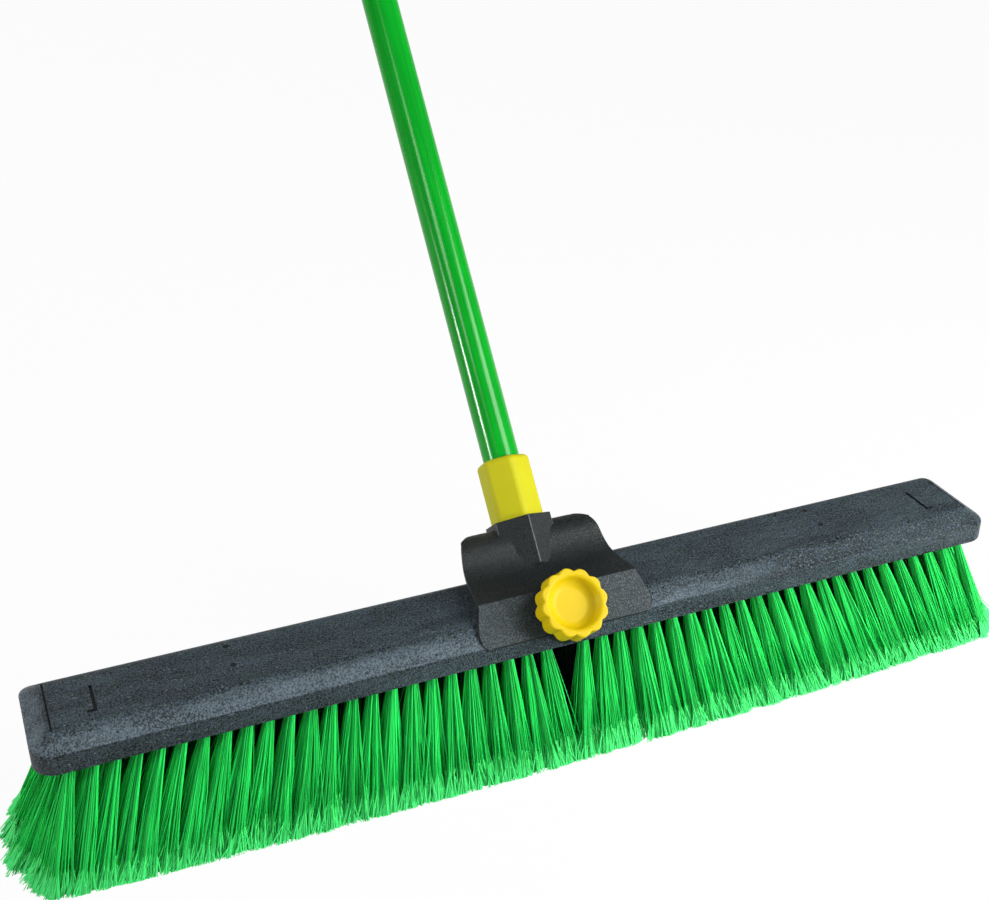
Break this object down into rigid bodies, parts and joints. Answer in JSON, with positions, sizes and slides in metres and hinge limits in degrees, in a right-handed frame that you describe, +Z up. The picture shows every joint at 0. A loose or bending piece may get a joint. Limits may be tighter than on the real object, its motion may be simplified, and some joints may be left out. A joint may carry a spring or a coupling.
{
  "type": "wide floor broom",
  "caption": "Wide push broom: long foam block with rows of fanned bristle tufts, a clamped saddle bracket with a hand knob, and a leaning tube handle keyed in its hexagonal socket.",
  "frame": {"origin": "on the handle's axis, 300 mm below its upper end, where a hand or a clamp holds it", "axes": "+X along the brush block, +Y from the knob's side towards the side the handle leans to, +Z up"},
  "size_m": [0.655, 1.0944, 1.2486],
  "materials": {
    "block_plastic": "grainy moulded structural foam, dark slate grey",
    "bracket_plastic": "fine-textured dark grey moulding",
    "ferrule_plastic": "satin greenish yellow moulding",
    "knob_plastic": "satin yellow moulding",
    "handle_paint": "glossy green coating on steel tube",
    "cap_plastic": "dark grey moulding",
    "steel": "zinc-plated steel",
    "brass": "knurled brass",
    "bristle": "green polymer filament bundles with flagged, paler tips"
  },
  "bodies": {
    "broom": {"block": "block_plastic", "block_insert": "brass", "bracket": "bracket_plastic", "ferrule": "ferrule_plastic", "handle_tube": "handle_paint", "handle_cap": "cap_plastic", "handle_screw": "steel", "tuft_staples": "steel", "tufts_front": "bristle", "tufts_mid_front": "bristle", "tufts_mid_back": "bristle", "tufts_back": "bristle"},
    "washer": {"knob_washer": "steel"},
    "hand_knob": {"knob": "knob_plastic", "knob_stud": "steel"}
  },
  "joints": [
    {"name": "knob_feed", "type": "slide", "parent": "broom", "child": "washer", "axis": [0, -0.7071, 0.7071], "range_m": [0, 0.0125]},
    {"name": "knob_turn", "type": "hinge", "parent": "washer", "child": "hand_knob", "pos_m": [0, -0.86103, -0.93055], "axis": [0, -0.7071, 0.7071], "range_deg": [0, 3600]}
  ],
  "couplings": [
    {"joint": "knob_turn", "follows": "knob_feed", "rad_per_m": 5026.5}
  ]
}
